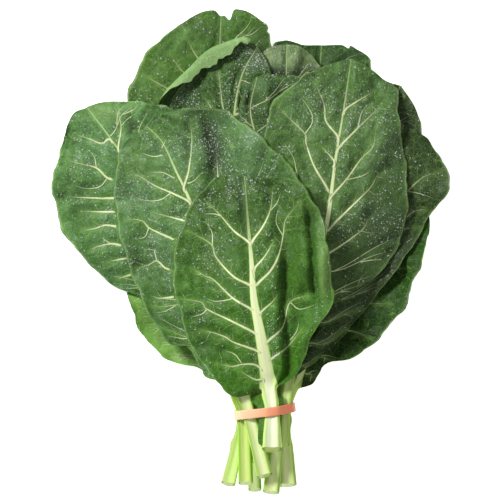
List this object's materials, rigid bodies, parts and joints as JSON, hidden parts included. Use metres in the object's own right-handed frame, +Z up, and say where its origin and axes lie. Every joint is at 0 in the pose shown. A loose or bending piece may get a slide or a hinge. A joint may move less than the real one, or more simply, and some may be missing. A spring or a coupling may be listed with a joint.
{
  "type": "bunch of collard greens",
  "caption": "Bunch of fresh collard leaves, fanned out and overlapping, with their stalks tied by a flat rubber band, lying on its back.",
  "frame": {"origin": "on the surface that the bunch lies on, under the middle of its outline seen from above", "axes": "+Z up, +Y from the cut stalks towards the leaf tips, +X towards the right of the bunch as seen from above"},
  "size_m": [0.3518, 0.4286, 0.0718],
  "materials": {
    "leaf": "waxy deep green leaf with a pale midrib",
    "band": "matte salmon rubber"
  },
  "bodies": {
    "root": {"leaf_back_top": "leaf", "leaf_back_right": "leaf", "leaf_low_left": "leaf", "leaf_top_left": "leaf", "leaf_low_right": "leaf", "leaf_top_middle": "leaf", "leaf_far_right": "leaf", "leaf_top_curled": "leaf", "leaf_left_outer": "leaf", "leaf_top_centre": "leaf", "leaf_right_inner": "leaf", "leaf_left_inner": "leaf", "leaf_front": "leaf", "rubber_band": "band"}
  },
  "joints": []
}
